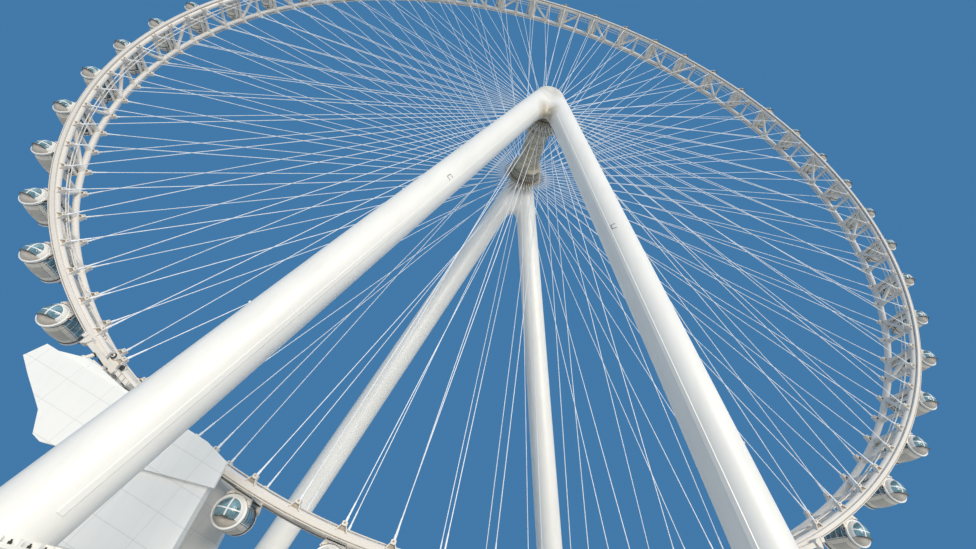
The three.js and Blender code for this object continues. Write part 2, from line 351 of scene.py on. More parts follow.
deck_grey = Paint("deck_concrete", (0.60, 0.59, 0.56), 0.8, vary=0.10, scale=4, bump=0.5, fine=80)
slab_grey = Paint("mount_slab", (0.92, 0.885, 0.81), 0.5, vary=0.08, scale=6, streak=0.3,
                  stain=(0.42, 0.38, 0.32))

# Paints of the cabins: smooth and fine
SLEEK = dict(bump=0.06, fine=120, depth=0.001)
cabin_white = Paint("cabin_white", (0.86, 0.85, 0.82), 0.32, vary=0.03, scale=6, **SLEEK)
hull_grey = Paint("cabin_hull", (0.86, 0.785, 0.67), 0.36, vary=0.05, scale=5, streak=0.2,
                  stain=(0.44, 0.39, 0.32), **SLEEK)
dome_beige = Paint("dome_beige", (0.58, 0.52, 0.45), 0.36, vary=0.05, scale=6, streak=0.2,
                   stain=(0.42, 0.38, 0.33), **SLEEK)
# dark cabin parts; on the ledges' rims and the hoops' inner rings this dark is also painted shade
nose_dark = Paint("nose_dark", (0.10, 0.09, 0.08), 0.4, vary=0.15, scale=12)
floor_dark = Paint("cabin_floor", (0.10, 0.085, 0.07), 0.6, vary=0.25, scale=9)
seat_wood = Paint("cabin_bench", (0.24, 0.16, 0.10), 0.5, vary=0.25, scale=14, bump=0.2)
# tinted glass; its bright teal and its tone that changes from pane to pane are painted reflection
glass_tint_and_reflection = Paint("cabin_glass", (0.25, 0.43, 0.49), 0.08, vary=0.35, scale=8, bump=0.02,
              low=(0.05, 0.10, 0.11))
glass_tint_and_reflection.shader["Alpha"].default_value = 0.70


def painted_shade_under_elbows(paint):
    """Painted shade: brown patches where the necks leave the elbows, and in the front crotch."""
    neck_y, neck_z = 1.35, HUB_Z - 0.15
    crotch_y, crotch_z = -1.80, 11.38
    spots = paint.op("MAXIMUM", paint.spot(-neck_y, neck_z, 0.30, 0.90),
                     paint.spot(crotch_y, crotch_z, 0.16, 0.50))
    spots = paint.op("MAXIMUM", spots, paint.spot(neck_y, neck_z, 0.30, 0.62))
    patchy = paint.spread(paint.noise(5, 5), 0.15, 0.55)
    mask = paint.op("MULTIPLY", paint.op("MULTIPLY", spots, patchy), 0.85)
    # painted shade: brown mixed into the leg paint where the elbows shade the necks and the crotch
    paint.link(paint.mix(mask, (0.38, 0.31, 0.19)), paint.shader["Base Color"])


def tower_joints(paint):
    """Panel joints, square to the towers' sloping backs."""
    slope, joint = 0.245, 0.006
    x, _, z = paint.xyz()
    side = paint.op("ABSOLUTE", x)
    down = paint.op("MULTIPLY_ADD", side, -slope, z)
    along = paint.op("MULTIPLY_ADD", z, slope, side)
    paint.groove(paint.op("MAXIMUM", paint.stripes(down, 0.36, joint, 0.15),
                          paint.stripes(along, 0.62, joint, 0.3)), shade=0.78)


def hull_panels(paint):
    """Louvred patch round the middle of the belly, panel joints towards the hoops."""
    x, y, z = paint.xyz()
    reach = paint.op("ABSOLUTE", y)
    about = paint.op("ARCTAN2", x, paint.op("MULTIPLY", z, -1.0))
    patch = paint.op("MULTIPLY", paint.op("LESS_THAN", reach, 0.15),
                     paint.op("LESS_THAN", paint.op("ABSOLUTE", about), 0.80))
    louvres = paint.op("MULTIPLY_ADD", paint.stripes(about, 0.10, 0.05), 0.35, 0.38)
    joints = paint.op("MAXIMUM", paint.stripes(reach, 0.151, 0.004, 0.5),
                      paint.stripes(about, 0.80, 0.014, 0.5))
    paint.groove(paint.op("MAXIMUM", paint.op("MULTIPLY", patch, louvres), joints), shade=0.35)


painted_shade_under_elbows(leg_white)
tower_joints(panel)
deck_grey.groove(deck_grey.stripes(deck_grey.xyz()[0], 0.40, 0.006), shade=0.6)
hull_panels(hull_grey)


# Leg pairs: two tapered tubes that flow into one another at a hairpin elbow
SPLIT = 2.25  # where the joined top ends, down from the peak
CROTCH = 1.83  # where the two tubes part
NET_CELL = 0.028  # mesh size of the joined top
LEG_SIDES = 96
STRIP = 0.55  # angle of the service strip round the leg
HATCH_AT = 6.55  # the hatch seam's place down the leg
LUGS_AT, LUG_TURN = (4.2, 7.4, 10.6), 2.5  # lifting lugs: places down and angle round it
NECK_BOLTS, FOOT_BOLTS, HUB_BOLTS, POCKETS = 40, 20, 16, 36  # pockets in a bearing housing


def blend(a, b, k):
    """The lower of two distances, rounded over a width k."""
    h = np.maximum(k - np.abs(a - b), 0) / k
    return np.minimum(a, b) - h * h * k / 4


def next_to(axis):
    """The other two axes, and slices that pair each grid point with its next one."""
    near, far = [slice(None)] * 3, [slice(None)] * 3
    near[axis], far[axis] = slice(0, -1), slice(1, None)
    return *(i for i in range(3) if i != axis), tuple(near), tuple(far)


def net(field, low, high, cell):
    """Points and quads of the surface where field is 0, in a box."""
    axes = [np.arange(a, b + cell, cell) for a, b in zip(low, high)]
    grid = np.stack(np.meshgrid(*axes, indexing="ij"), -1)
    value = field(grid)
    inside = value < 0
    shape = np.array(value.shape) - 1
    total, count = np.zeros((*shape, 3)), np.zeros(shape)
    for axis in range(3):
        u, v, near, far = next_to(axis)
        cross = inside[near] != inside[far]
        span = value[far] - value[near]
        t = np.where(cross, -value[near] / np.where(cross, span, 1), 0)
        point = grid[near] + (grid[far] - grid[near]) * t[..., None]
        for i in (0, 1):
            for j in (0, 1):
                pick = [slice(None)] * 3
                pick[u] = slice(i, shape[u] + i)
                pick[v] = slice(j, shape[v] + j)
                pick = tuple(pick)
                total += np.where(cross[pick][..., None], point[pick], 0)
                count += cross[pick]
    used = count > 0
    index = np.full(shape, -1)
    index[used] = np.arange(used.sum())
    points = total[used] / count[used][:, None]
    step = 1e-4
    for _ in range(3):  # pull the points onto the surface
        f = field(points)
        slope = np.stack([(field(points + step * np.eye(3)[i]) - f) / step for i in range(3)], -1)
        points = points - slope * (f / np.maximum((slope ** 2).sum(-1), 1e-6))[:, None]
    quads = []
    for axis in range(3):
        u, v, near, far = next_to(axis)
        for cell_at in np.argwhere(inside[near] != inside[far]):
            if not (0 < cell_at[u] < shape[u] and 0 < cell_at[v] < shape[v]):
                continue
            ring = []
            for du, dv in ((1, 1), (0, 1), (0, 0), (1, 0)):
                e = list(cell_at)
                e[u] -= du
                e[v] -= dv
                ring.append(int(index[tuple(e)]))
            quads.append(tuple(ring))
    return points, quads


class LegPair:
    """Places along a pair: u down one leg from its bend, s down the middle from the peak."""

    def __init__(self, sy):
        self.sy = sy
        self.peak = Vector((0, sy * PEAK_Y, PEAK_Z))
        self.middle = Vector((0, sy * FOOT_Y, 0)) - self.peak
        self.run = self.middle.length
        self.middle.normalize()
        self.half = atan2(FOOT_X, self.run)  # half the angle between the legs
        self.normal = X.cross(self.middle)
        self.d = (sin(self.half), cos(self.half))  # one leg's direction
        self.centre = BEND / sin(self.half)  # of the bend, down the middle
        self.tx = BEND * cos(self.half)  # where the bend ends
        self.ts = self.centre - BEND * sin(self.half)
        self.length = hypot(FOOT_X - self.tx, self.run - self.ts)

    def radius(self, u):
        return LEG_TOP + (LEG_FOOT - LEG_TOP) * u / self.length

    def axes(self, sx):
        """One leg's directions: down along it, and towards the other leg."""
        sine, cosine = self.d
        return X * (sx * sine) + self.middle * cosine, X * (-sx * cosine) + self.middle * sine

    def field(self, p):
        """Distance from the joined top: tubes, bend and neck, rounded into one another."""
        d, ts, centre, half = self.d, self.ts, self.centre, self.half
        q = p - np.array(self.peak)
        x, s, t = q[..., 0], q @ np.array(self.middle), q @ np.array(self.normal)
        tube = []
        for side in PAIR:
            u = (side * x - self.tx) * d[0] + (s - ts) * d[1]
            off = (side * x - self.tx) * d[1] - (s - ts) * d[0]
            away = np.sqrt(off ** 2 + t ** 2 + np.minimum(u, 0) ** 2)
            tube.append(away - self.radius(np.maximum(u, 0)))
        gap = CROTCH * d[0] - self.radius(CROTCH)  # what the rounding bridges at the crotch
        width = np.interp(s, [0.50, 1.0, 1.5, CROTCH], [0.04, 0.26, 0.42, 4 * gap])
        legs = blend(tube[0], tube[1], width)
        reach = np.clip(np.arctan2(x, centre - s), half - pi / 2, pi / 2 - half)
        bend = np.sqrt((x - BEND * np.sin(reach)) ** 2
                       + (s - centre + BEND * np.cos(reach)) ** 2 + t ** 2) - LEG_TOP
        legs = np.minimum(legs, bend)
        out = np.hypot(p[..., 0], p[..., 2] - HUB_Z)
        y = self.sy * p[..., 1]
        neck = np.maximum(out - np.interp(y, [1.30, 1.46, 1.62], [0.432, 0.41, 0.30]),
                          np.maximum(1.30 - y, y - 1.64))
        return blend(legs, neck, 0.10)

    def mesh(self, name):
        """The joined top, cut off level, and a lofted leg on each side below it."""
        peak, middle, sy = self.peak, self.middle, self.sy
        low = PEAK_Z + middle.z * (SPLIT + 0.20)
        box_y = sorted((sy * 1.20, sy * 2.50))
        points, quads = net(self.field, (-1.05, box_y[0], low), (1.05, box_y[1], 13.60), NET_CELL)
        mesh = bpy.data.meshes.new(name)
        mesh.from_pydata([tuple(p) for p in points], [], quads)
        bm = bmesh.new()
        bm.from_mesh(mesh)
        cut(bm, peak + middle * SPLIT, middle, clear_outer=True)
        spacing, pad_top = 0.7, 0.09
        stations = [SPLIT] + [spacing * i for i in range(4, int(self.run / spacing))] + [self.run]
        for sx in (1, -1):
            dv, inward = self.axes(sx)
            rows = []
            for n, s in enumerate(stations):
                u = (s - self.ts) / self.d[1]
                c = peak + middle * s + X * (sx * (self.tx + u * self.d[0]))
                ring = circle(c, self.normal, inward, self.radius(u), LEG_SIDES)
                if n == 0:  # level with the joined top
                    ring = [p + dv * ((s - (p - peak).dot(middle)) / self.d[1]) for p in ring]
                if s == self.run:  # level cut on top of the pad
                    ring = [p + dv * ((p.z - pad_top) / -dv.z) for p in ring]
                rows.append([bm.verts.new(p) for p in ring])
            for a, b in zip(rows, rows[1:]):
                for j in range(LEG_SIDES):
                    k = (j + 1) % LEG_SIDES
                    bm.faces.new((a[j], a[k], b[k], b[j]))
            bm.faces.new(rows[-1])
        store(bm, mesh)
        mesh.materials.append(leg_white.mat)
        return smooth(mesh, 50)

    def fittings(self, name):
        """Flange of the neck with its bolts, service strips, hatch seams, lifting lugs."""
        make, sy = Make(name, leg_white, socket_pale, socket_dark), self.sy
        make.turned([(0.10, HOUSING_END), (HOUSING - 0.02, HOUSING_END),
                     (HOUSING, HOUSING_END + 0.02), (HOUSING, HOUSING_END + 0.075),
                     (HOUSING - 0.010, HOUSING_END + 0.080), (0.10, 1.36)], AXLE, 64, sy=sy)
        for a in around(NECK_BOLTS):
            e, f = spoke(a)
            make.block(Vector((0, sy * 1.30, HUB_Z)) + e * (HOUSING - 0.004), e * 0.006,
                       f * 0.016, Y * 0.020, 1)
        for sx in PAIR:
            dv, inward = self.axes(sx)
            start = self.peak + self.middle * self.ts + X * (sx * self.tx)
            out = (inward * cos(STRIP) + self.normal * sy * sin(STRIP)).normalized()
            side = dv.cross(out).normalized()
            flat = ((-0.034, 0), (-0.026, 0.010), (0.026, 0.010), (0.034, 0))
            strip = []
            for u in (1.2, self.length - 0.35):
                c = start + dv * u + out * (self.radius(u) - 0.003)
                strip.append([c + side * a + out * b for a, b in flat])
            make.loft(strip)
            # seam of a small hatch, three sides of a square, on the side away from the wheel
            out = (inward * 0.63 + self.normal * sy * 0.77).normalized()
            c = start + dv * HATCH_AT + out * (self.radius(HATCH_AT) - 0.001)
            side = dv.cross(out)
            for e1, e2, f1, f2 in ((1, 0, 0.005, 0.040), (-1, 0, 0.005, 0.040),
                                   (0, 1, 0.055, 0.005)):
                make.block(c + dv * e1 * 0.055 + side * e2 * 0.040, dv * f1, side * f2,
                           out * 0.0025, 2)
            for u in LUGS_AT:
                for turn in (LUG_TURN, -LUG_TURN):
                    out = (inward * cos(turn) + self.normal * sin(turn)).normalized()
                    make.block(start + dv * u + out * (self.radius(u) + 0.004), dv * 0.014,
                               out * 0.010, dv.cross(out) * 0.004, 1)
        make.piece("base")

    def feet(self, name):
        """Concrete pad, base plate with bolts and ribs."""
        make = Make(name, leg_white, deck_grey, socket_dark)
        for sx in PAIR:
            c = Vector((sx * FOOT_X, self.sy * FOOT_Y, 0))
            edge = FOOT_PAD - 0.004
            for z0, z1, r0, r1, slot in ((0.0, 0.05, edge, edge, 1), (0.05, 0.075, 0.40, 0.40, 0),
                                         (0.075, 0.112, 0.34, 0.33, 0)):
                make.loft([circle(c + Z * z, X, Y, r, 64) for z, r in ((z0, r0), (z1, r1))], slot)
            for i in range(FOOT_BOLTS):
                a = TURN * (i + 0.5) / FOOT_BOLTS
                e = Vector((cos(a), sin(a), 0))
                make.bar([(c + e * 0.375 + Z * z, r) for z, r in
                          ((0.07, 0.014), (0.092, 0.014), (0.0921, 0.007), (0.104, 0.007))], 6, 2)
                e = Vector((cos(a + 0.157), sin(a + 0.157), 0))
                make.block(c + e * 0.355 + Z * 0.095, e * 0.03,
                           Vector((-e.y, e.x, 0)) * 0.005, Z * 0.022)
        make.piece("base")


for end, sy in ENDS:
    pair, name = LegPair(sy), end + "_legs"
    piece(name, pair.mesh(name), "base", (end + "_left_leg", end + "_right_leg"))
    pair.fittings(name + "_fittings")
    pair.feet(name + "_feet")


def axle_housings():
    """Fixed shaft, and at each end a bearing housing with a ring of dark pockets."""
    end = DRUM_OUT + 0.008
    make = Make("axle_housings", hub_grey, socket_dark, hub_brown)
    make.turned([(0.149, -end), (0.149, end)], AXLE, 48)
    shell = [(0.15, end), (HOUSING - 0.012, end), (HOUSING, end + 0.008), (HOUSING, end + 0.030),
             (HOUSING - 0.014, end + 0.034), (HOUSING - 0.014, HOUSING_END - 0.020),
             (HOUSING, HOUSING_END - 0.016), (HOUSING, HOUSING_END - 0.001),
             (0.15, HOUSING_END - 0.001)]
    surround = section(HOUSING - 0.030, HOUSING - 0.010, end + 0.034, HOUSING_END - 0.020)
    for sy in PAIR:
        make.turned(shell, AXLE, 64, 0, True, sy)
        make.turned(surround, AXLE, 96, 2, True, sy)
        for a in around(POCKETS):
            make.ring_block(HOUSING - 0.03, HOUSING - 0.004, a, 0.024,
                            sy * (end + 0.036), sy * (HOUSING_END - 0.022), 1)
    make.piece("base", "spindle")


def hub_drums():
    """A tube that flares into two drums, with brown bands, dark slots, ribs and bolts."""
    flare = [(DRUM - 0.012, DRUM_OUT), (DRUM, DRUM_OUT - 0.010), (DRUM, 1.02),
             (DRUM - 0.016, 1.015), (DRUM - 0.016, 0.735), (DRUM + 0.012, 0.73),
             (DRUM + 0.012, 0.70), (DRUM, DRUM_IN), (0.435, 0.655), (0.385, 0.60),
             (0.350, 0.52), (HUB_TUBE, 0.43)]
    make = Make("hub_drums", hub_grey, socket_dark, socket_pale, hub_brown)
    make.turned([(HUB_BORE, DRUM_OUT)] + flare + [(r, -y) for r, y in reversed(flare)]
                + [(HUB_BORE, -DRUM_OUT)], AXLE, 96, closed=True)
    band = section(DRUM - 0.030, DRUM - 0.010, 0.865, 1.012)
    root, ribs = DRUM - 0.03, NODES // 2
    for sy in PAIR:
        make.turned(band, AXLE, 96, 3, True, sy)
        for i in range(ribs):
            a = NODE0 + TURN * (i + 0.5) / ribs
            make.ring_block(root, DRUM - 0.012, a, 0.014, sy * 0.765, sy * 0.825, 1)
            make.bar([(wheel(0.381, a, sy * 0.60), 0.009), (wheel(0.391, a, sy * 0.60), 0.009)],
                     8, 1)
            make.ring_block(root, DRUM + 0.004, a + PITCH, 0.009, sy * 0.86, sy * 1.014, 2)
            make.ring_block(root, DRUM + 0.002, a, 0.016, sy * 1.025, sy * 1.050, 1)
        for y in (0.16, 0.28, 0.40):
            for a in around(HUB_BOLTS, NODE0):
                make.bar([(wheel(HUB_TUBE - 0.004, a, sy * y), 0.014),
                          (wheel(HUB_TUBE + 0.005, a, sy * y), 0.011)], 10, 1)
    make.piece("wheel", "hub")


def cables(end, sy):
    """Ring that holds the cables on one drum, and each cable with a socket at both ends."""
    y, groove = sy * ANCHOR_Y, ANCHOR - 0.02
    ring = [(DRUM + 0.0005, -0.060), (DRUM + 0.03, -0.060), (ANCHOR, -0.048), (ANCHOR, -0.012),
            (groove, -0.006), (groove, 0.006), (ANCHOR, 0.012), (ANCHOR, 0.048),
            (DRUM + 0.03, 0.060), (DRUM + 0.0005, 0.060)]
    hub_socket = ((0.0, 0.020), (0.050, 0.020), (0.052, 0.015), (0.15, 0.013),
                  (0.20, CABLE + 0.0005))
    rim_socket = ((0.30, CABLE + 0.0005), (0.26, 0.0125), (0.07, 0.0140), (0.065, 0.019),
                  (0.0, 0.019))
    make = Make(end + "_cables", cable_grey, socket_pale, hub_brown)
    make.turned([(r, y + t) for r, t in ring], AXLE, 96, 2, closed=True)
    for k in range(0 if sy < 0 else 1, NODES, 2):
        for side in PAIR:
            a = node_angle(k)
            p = wheel(groove, a - side * asin(SIDESTEP / groove), y + side * ROW)
            q = wheel(EAR_TIP - 0.002, a, side * EAR_Y)
            d = (q - p).normalized()
            far = (q - p).length
            make.bar([(p + d * 0.10, CABLE), (p + d * (far - 0.2), CABLE)], 6, 0)
            make.bar([(p + d * u, r) for u, r in hub_socket], 10, 1)
            make.bar([(p + d * (far - u), r) for u, r in rim_socket], 10, 0)
    make.piece("wheel", end + "_spokes", slot="cable_steel")


def add_ear(make, a, sy):
    """Cable ear: a web between two flanges that close on a block at the tip, with its pin."""
    y, root, tip = sy * EAR_Y, 11.652, EAR_TIP + 0.058
    near, far = y - sy * 0.044, y + sy * 0.036
    # the web, painted tan as the shade inside the channel
    make.plate([(root, -0.072), (tip, -0.026), (tip, 0.026), (root, 0.072)],
               a, y - 0.008, y + 0.008, 2)
    for t in PAIR:
        make.plate([(root, t * 0.088), (tip, t * 0.046), (tip, t * 0.032), (root, t * 0.070)],
                   a, near, far)
    make.plate([(tip + 0.006, -0.042), (EAR_TIP + 0.010, -0.038), (EAR_TIP, -0.028),
                (EAR_TIP, 0.028), (EAR_TIP + 0.010, 0.038), (tip + 0.006, 0.042)], a, near, far)
    # the pin, in the same painted tan shade
    make.turned([(0.013, -0.046), (0.013, 0.046)], wheel(EAR_TIP + 0.024, a, y), 12, 2)


def chord(end, sy):
    """Tube and square running rail, the slot between them, a thin outer strip, the ears."""
    make = Make(end + "_chord", white, slot_shade, tan_shade, socket_dark)
    make.round_rim([(CHORD_R + TUBE * cos(b), CHORD_Y + TUBE * sin(b)) for b in around(24)], sy)
    make.round_rim([(RAIL_TOP, RAIL_NEAR), (RAIL_TOP, RAIL_FAR - 0.005),
                    (RAIL_TOP - 0.005, RAIL_FAR), (RAIL_IN + 0.005, RAIL_FAR),
                    (RAIL_IN, RAIL_FAR - 0.005), (RAIL_IN, RAIL_NEAR)], sy)
    # the slot: a white bridge outside, and towards the axle a dark strip, painted shade in the
    # slot between tube and rail
    make.round_rim(section(11.722, 11.703, 0.400, 0.429), sy)
    make.round_rim([(11.702, 0.402), (11.702, 0.4285), (11.688, 0.4285), (11.688, 0.403)], sy, 1)
    # the strip outside the rail, on a brown filler painted as the shade in the gap between them
    make.round_rim(section(11.757, RAIL_TOP - 0.002, 0.440, 0.458), sy, 2)
    make.round_rim(section(11.768, 11.7575, 0.436, 0.463), sy)
    collar = ((-0.007, TUBE), (-0.004, TUBE + 0.002), (0.004, TUBE + 0.002), (0.007, TUBE))
    for k in range(NODES):
        a = node_angle(k)
        for t in (-0.13, 0.13):  # weld collars on either side of the node
            b = a + t / CHORD_R
            outward, onward = spoke(b)
            c = wheel(CHORD_R, b, sy * CHORD_Y)
            make.loft([circle(c + onward * u, outward, Y, r, 24) for u, r in collar], caps=False)
        add_ear(make, a, sy)
    make.piece("wheel", end + "_rim")


def rim_bars():
    """Crossbars whose ends spread along the chords, and a diagonal in every other bay."""
    # half a crossbar: distance from the mid plane, half width along the rim, half depth
    half = [(0.0, 0.046, 0.046), (0.17, 0.046, 0.046), (0.195, 0.049, 0.046),
            (0.215, 0.055, 0.047), (0.235, 0.063, 0.048), (0.25, 0.072, 0.049),
            (0.27, 0.086, 0.050), (0.29, 0.100, 0.051), (0.325, 0.116, 0.050)]
    whole = [(-y, p, q) for y, p, q in reversed(half[1:])] + half
    sleeve = ((0.03, 0.060), (0.14, 0.058), (0.20, 0.046), (0.80, 0.046), (0.86, 0.058),
              (0.97, 0.060))
    make = Make("rim_bars", white)
    for k in range(NODES):
        a = node_angle(k)
        make.loft([[wheel(CHORD_R + deep * sin(b), a, y, across * cos(b)) for b in around(20)]
                   for y, across, deep in whole])
    for k in range(1, NODES, 2):
        flip = 1 if ((k - 1) // 2) % 2 else -1
        p = wheel(CHORD_R, node_angle(k), flip * 0.315)
        q = wheel(CHORD_R, node_angle(k + 1), -flip * 0.315)
        make.bar([(p + (q - p) * u, r) for u, r in sleeve], 16)
    make.piece("wheel", "rim_ladder")


def light_rails():
    """A pair of thin rails inside the rim, tied by rungs and held at each node."""
    r, rail_ys, thick = 11.590, (-0.140, -0.232), 0.011
    make = Make("light_rails", white)
    for y in rail_ys:
        make.loft([[wheel(r + thick * cos(b), a, y + thick * sin(b)) for b in around(6)]
                   for a in around(RIM_STEPS)], closed=True)
    for i in range(NODES * 4):
        a = NODE0 + PITCH * i / 4
        make.bar([(wheel(r, a, rail_ys[1]), 0.006), (wheel(r, a, rail_ys[0]), 0.006)], 6)
        if i % 4 == 0:
            for y in rail_ys:
                make.plate([(r, -0.008), (r, 0.008), (11.645, 0.008), (11.645, -0.008)],
                           a, y - 0.005, y + 0.005)
    make.piece("wheel")


def add_saddle(make, a, sy):
    """Two plates hollowed round a cabin's hoop, tied by a base, with rollers between them."""
    bed, shoulder = 11.784, 11.896
    hollow = [(CABIN_R - 0.238 * cos(b), 0.238 * sin(b))
              for b in map(radians, range(-50, 51, 5))]
    cradle = [(bed, -0.150), (shoulder, -0.200)] + hollow + [(shoulder, 0.200), (bed, 0.150)]
    for y in (RING_Y - 0.028, RING_Y + 0.028):
        make.plate(cradle, a, sy * (y - 0.006), sy * (y + 0.006))
    make.plate([(bed, -0.146), (11.800, -0.148), (11.800, 0.148), (bed, 0.146)],
               a, sy * (RING_Y - 0.034), sy * (RING_Y + 0.034))
    for b in map(radians, (-45, -25, 25, 45)):
        q = wheel(CABIN_R - 0.2480 * cos(b), a, sy * RING_Y, 0.2480 * sin(b))
        make.turned([(0.0155, -0.020), (0.0155, 0.020)], q, 14, 1)
        make.turned([(0.006, -0.038), (0.006, 0.038)], q, 8, 3)


def cabin_mounts():
    """At every other node a slab from chord to chord, saddles, rollers and a small drive."""
    make = Make("cabin_mounts", white, tyre, machine, socket_dark, slab_grey)
    for k in range(1, NODES, 2):
        a = node_angle(k)
        make.ring_block(11.762, 11.786, a, 0.145, -0.345, 0.345, 4)
        make.ring_block(11.757, 11.763, a, 0.014, -0.20, 0.16, 3)
        for y, w in ((-0.15, 0.030), (-0.02, 0.022), (0.09, 0.030)):
            make.ring_block(11.742, 11.763, a, w, y - 0.018, y + 0.018, 2)
        for sy in PAIR:
            for t in (-0.112, 0.112):
                make.bar([(wheel(11.725, a, sy * CHORD_Y, t), 0.024),
                          (wheel(11.765, a, sy * 0.335, t), 0.024)], 12)
            add_saddle(make, a, sy)
            make.plate([(11.786, -0.040), (11.812, -0.034), (11.812, 0.034), (11.786, 0.040)],
                       a, sy * 0.165, sy * 0.215, 2)
    make.piece("wheel")


axle_housings()
hub_drums()
for end, sy in ENDS:
    cables(end, sy)
for end, sy in ENDS:
    chord(end, sy)
rim_bars()
light_rails()
cabin_mounts()


# Cabins: one mesh, used by all 48. Distances are from the middle of the cabin.
SILL = -0.100  # height where the glazing begins
WAIST, HALF_HOOP = 0.213, 0.27  # shell radius at the hoops, and where that is
BARREL, BELLY = 0.018, 0.012  # how far the middle and the belly stand out
DOME_FROM, DOME_DEEP, DOME_R = 0.318, 0.137, 0.205
FRAME_TO = 0.392  # white frame round the end window
BAY = ((0.065, 0.075), (0.185, 0.195))  # hoops of the side glazing
CROSS, BAND = 0.012, (0.011, 0.029)  # mullions of the end window
CABIN_YS = [0.0, *BAY[0], 0.13, *BAY[1], 0.23, HALF_HOOP, DOME_FROM, 0.340, 0.365, FRAME_TO,
            0.405, 0.418, 0.430, 0.440, 0.447, 0.452, 0.4545]
CABIN_YS = [-y for y in reversed(CABIN_YS[1:])] + CABIN_YS
SIDE_YS = [y for y in CABIN_YS if abs(y) < 0.265]
FRAME_WHITE, HULL, GLAZING, DARK, FLOOR, BENCH, DOME = range(7)  # the paints of cabin_mesh


def hull_radius(y, b=pi / 2):
    """Radius of the shell at distance y from its middle; its belly hangs a little lower."""
    y = abs(y)
    if y <= HALF_HOOP:
        return WAIST + (BARREL + BELLY * max(0, -sin(b)) ** 2) * (1 - (y / HALF_HOOP) ** 2)
    if y <= DOME_FROM:
        return WAIST - (WAIST - DOME_R) * (y - HALF_HOOP) / (DOME_FROM - HALF_HOOP)
    return DOME_R * max(1 - ((y - DOME_FROM) / DOME_DEEP) ** (1 / 0.62), 0) ** (1 / 2.2)


def on_hull(y, b, lift=0.0):
    r = hull_radius(y, b) + lift
    return Vector((r * cos(b), y, r * sin(b)))


def on_sill(side, y, rise, lift):
    """A point of the shell at an angle above the sill, on one side."""
    b = asin(max(SILL / hull_radius(y, -0.4), -0.999)) + rise
    p = on_hull(y, b, lift)
    return Vector((side * p.x, p.y, p.z))


def cabin_slot(x, y, z):
    """Which paint a face of the shell has, by where its centre lies."""
    y = abs(y)
    if z < SILL:
        return HULL if y < DOME_FROM else DOME
    if y > DOME_FROM:
        framed = y < FRAME_TO or abs(x) < CROSS or BAND[0] < z < BAND[1]
    else:
        framed = any(a < y < b for a, b in BAY) or y > 0.25
    return FRAME_WHITE if framed else GLAZING


def add_shell(make):
    """The shell, cut along the sill and the mullions so that each face has one paint."""
    shell = Make("shell")
    shell.loft([[on_hull(y, b) for b in around(64)] for y in CABIN_YS])
    mesh = bpy.data.meshes.new("shell")
    mesh.from_pydata(shell.points, [], shell.faces)
    bm = bmesh.new()
    bm.from_mesh(mesh)
    cuts = [((0, 0, SILL), Z), ((CROSS, 0, 0), X), ((-CROSS, 0, 0), X)]
    for at, across in cuts + [((0, 0, z), Z) for z in BAND]:
        cut(bm, at, across)
    bm.verts.index_update()
    make.add([v.co for v in bm.verts], [[v.index for v in f.verts] for f in bm.faces])
    make.slots = [cabin_slot(*f.calc_center_median()) for f in bm.faces]
    bm.free()
    bpy.data.meshes.remove(mesh)


def add_glazing_bars(make):
    """Ridge and side rails of the glazing, and a sill rail with a row of dark slots."""
    for b, w in ((pi / 2, 0.022), (radians(40), 0.014), (radians(140), 0.014)):
        make.loft([[on_hull(y, b - w, -0.004), on_hull(y, b - w, 0.0025),
                    on_hull(y, b + w, 0.0025), on_hull(y, b + w, -0.004)] for y in SIDE_YS])
    for s in PAIR:
        make.loft([[on_sill(s, y, *at) for at in
                    ((0.030, -0.004), (0.030, 0.002), (0.075, 0.002), (0.075, -0.004))]
                   for y in SIDE_YS])
        for i in range(9):
            y = -0.216 + 0.054 * i
            make.loft([[on_sill(s, v, *at) for at in
                        ((-0.020, -0.002), (-0.020, 0.0015), (0.022, 0.0015), (0.022, -0.002))]
                       for v in (y - 0.017, y + 0.017)], DARK)


def add_end(make, s):
    """Double mounting hoop and a plain dark ring inside it; the ledge under the end window, and
    its console.
    """
    edge = RING_R - 0.0015
    hoop = [(0.200, 0.279), (edge, 0.279), (RING_R, 0.2815), (RING_R, 0.2925), (edge, 0.295),
            (0.222, 0.2955), (0.222, 0.3025), (edge, 0.303), (RING_R, 0.3055), (RING_R, 0.3155),
            (edge, DOME_FROM), (0.203, DOME_FROM + 0.001)]
    make.turned(hoop, (0, 0, 0), 64, FRAME_WHITE, True, s)
    # dark inner ring: a drive band, and its darkness also painted shade of the hoop under the hull
    make.turned(section(0.203, 0.2285, 0.263, 0.2785), (0, 0, 0), 64, DARK, True, s)
    back = 0.335
    ledge = [(-0.150, back), (-0.155, 0.375), (-0.142, 0.405), (-0.092, 0.4765),
             (0.092, 0.4765), (0.142, 0.405), (0.155, 0.375), (0.150, back)]
    # a beige layer, and above it a wider dark one whose rim is painted shade under the ledge
    for z0, z1, k, slot in ((SILL - 0.004, SILL + 0.002, 0.82, DOME),
                            (SILL + 0.003, SILL + 0.009, 1, DARK)):
        make.loft([[Vector((x * k, s * (back + (y - back) * k), z)) for x, y in ledge]
                   for z in (z0, z1)], slot)
    make.loft([[Vector((x, s * y, z))
                for x, y in ((-w, 0.385), (w, 0.385), (w * 0.6, e), (-w * 0.6, e))]
               for z, w, e in ((SILL + 0.010, 0.085, 0.462), (SILL + 0.038, 0.060, 0.440))], DARK)


